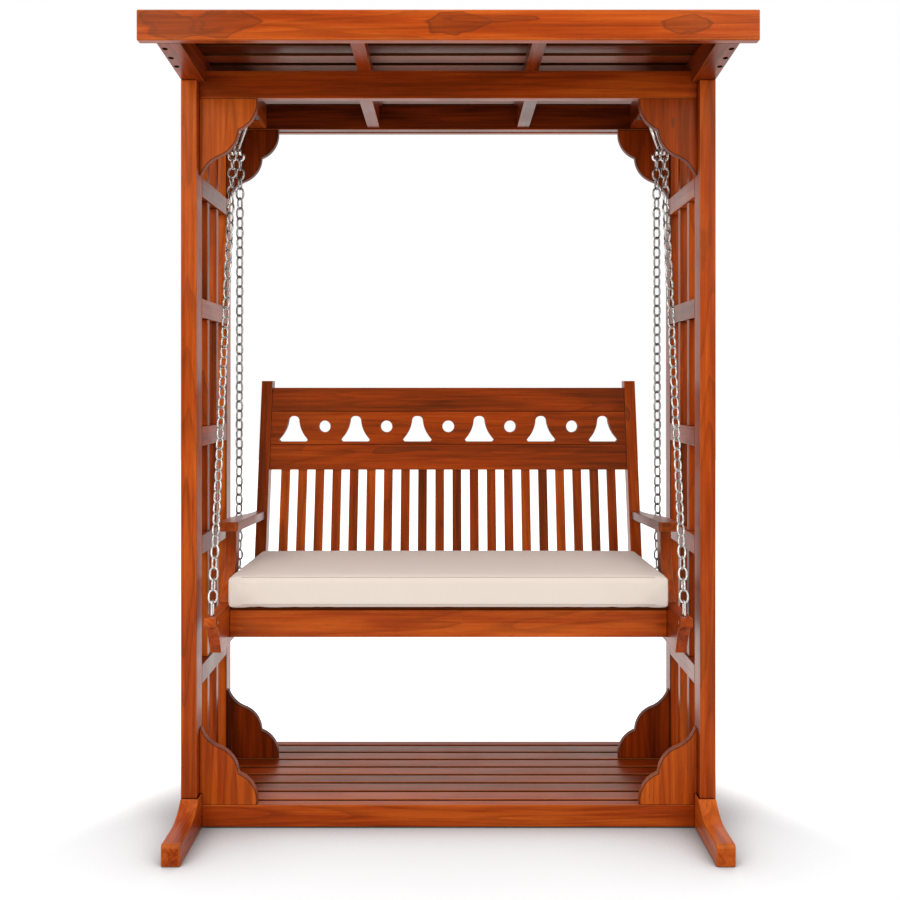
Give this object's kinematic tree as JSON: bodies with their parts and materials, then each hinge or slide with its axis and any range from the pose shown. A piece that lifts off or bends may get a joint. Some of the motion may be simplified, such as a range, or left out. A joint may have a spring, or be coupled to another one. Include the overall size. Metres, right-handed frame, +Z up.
{
  "type": "jhoola swing",
  "caption": "Slatted hardwood jhoola: a cushioned bench with a pierced back hangs on chains from steel pivots in a roofed frame and swings to and fro.",
  "frame": {"origin": "centre of the bounding box on the floor, under the middle of the frame", "axes": "+Z up, +X to the right seen from the front, +Y from the front towards the back"},
  "size_m": [1.414, 0.844, 1.973],
  "materials": {
    "timber": "glossy reddish-brown polish",
    "steel": "bright",
    "cushion_fabric": "matt woven"
  },
  "bodies": {
    "frame": {"left_foot": "timber", "left_front_post": "timber", "left_back_post": "timber", "left_side_rails": "timber", "left_side_slats": "timber", "left_end_rafter": "timber", "left_hanger_beam": "timber", "right_foot": "timber", "right_front_post": "timber", "right_back_post": "timber", "right_side_rails": "timber", "right_side_slats": "timber", "right_end_rafter": "timber", "right_hanger_beam": "timber", "front_top_beam": "timber", "back_top_beam": "timber", "front_top_brackets": "timber", "back_top_brackets": "timber", "front_bottom_brackets": "timber", "back_bottom_brackets": "timber", "front_fascia": "timber", "back_fascia": "timber", "mid_rafters": "timber", "roof_slats": "timber", "roof_panel": "timber", "front_platform_rail": "timber", "back_platform_rail": "timber", "platform_slats": "timber", "platform_bearers": "timber", "hangers": "steel", "pivot_pins": "steel"},
    "swing": {"left_seat_beam": "timber", "left_back_leg": "timber", "left_armrest": "timber", "left_arm_support": "timber", "left_front_chain": "steel", "left_back_chain": "steel", "right_seat_beam": "timber", "right_back_leg": "timber", "right_armrest": "timber", "right_arm_support": "timber", "right_front_chain": "steel", "right_back_chain": "steel", "double_hooks": "steel", "front_chain_eyes": "steel", "front_cross_bolts": "steel", "back_eye_bolts": "steel", "front_seat_rail": "timber", "back_seat_rail": "timber", "seat_bearers": "timber", "seat_slats": "timber", "back_top_rail": "timber", "pierced_back_panel": "timber", "back_middle_rail": "timber", "back_lower_rail": "timber", "back_slats": "timber", "cushion": "cushion_fabric"}
  },
  "joints": [
    {"name": "bench_swing", "type": "hinge", "parent": "frame", "child": "swing", "pos_m": [0, 0.0076, 1.75], "axis": [1, 0, 0], "range_deg": [-20, 20]}
  ]
}
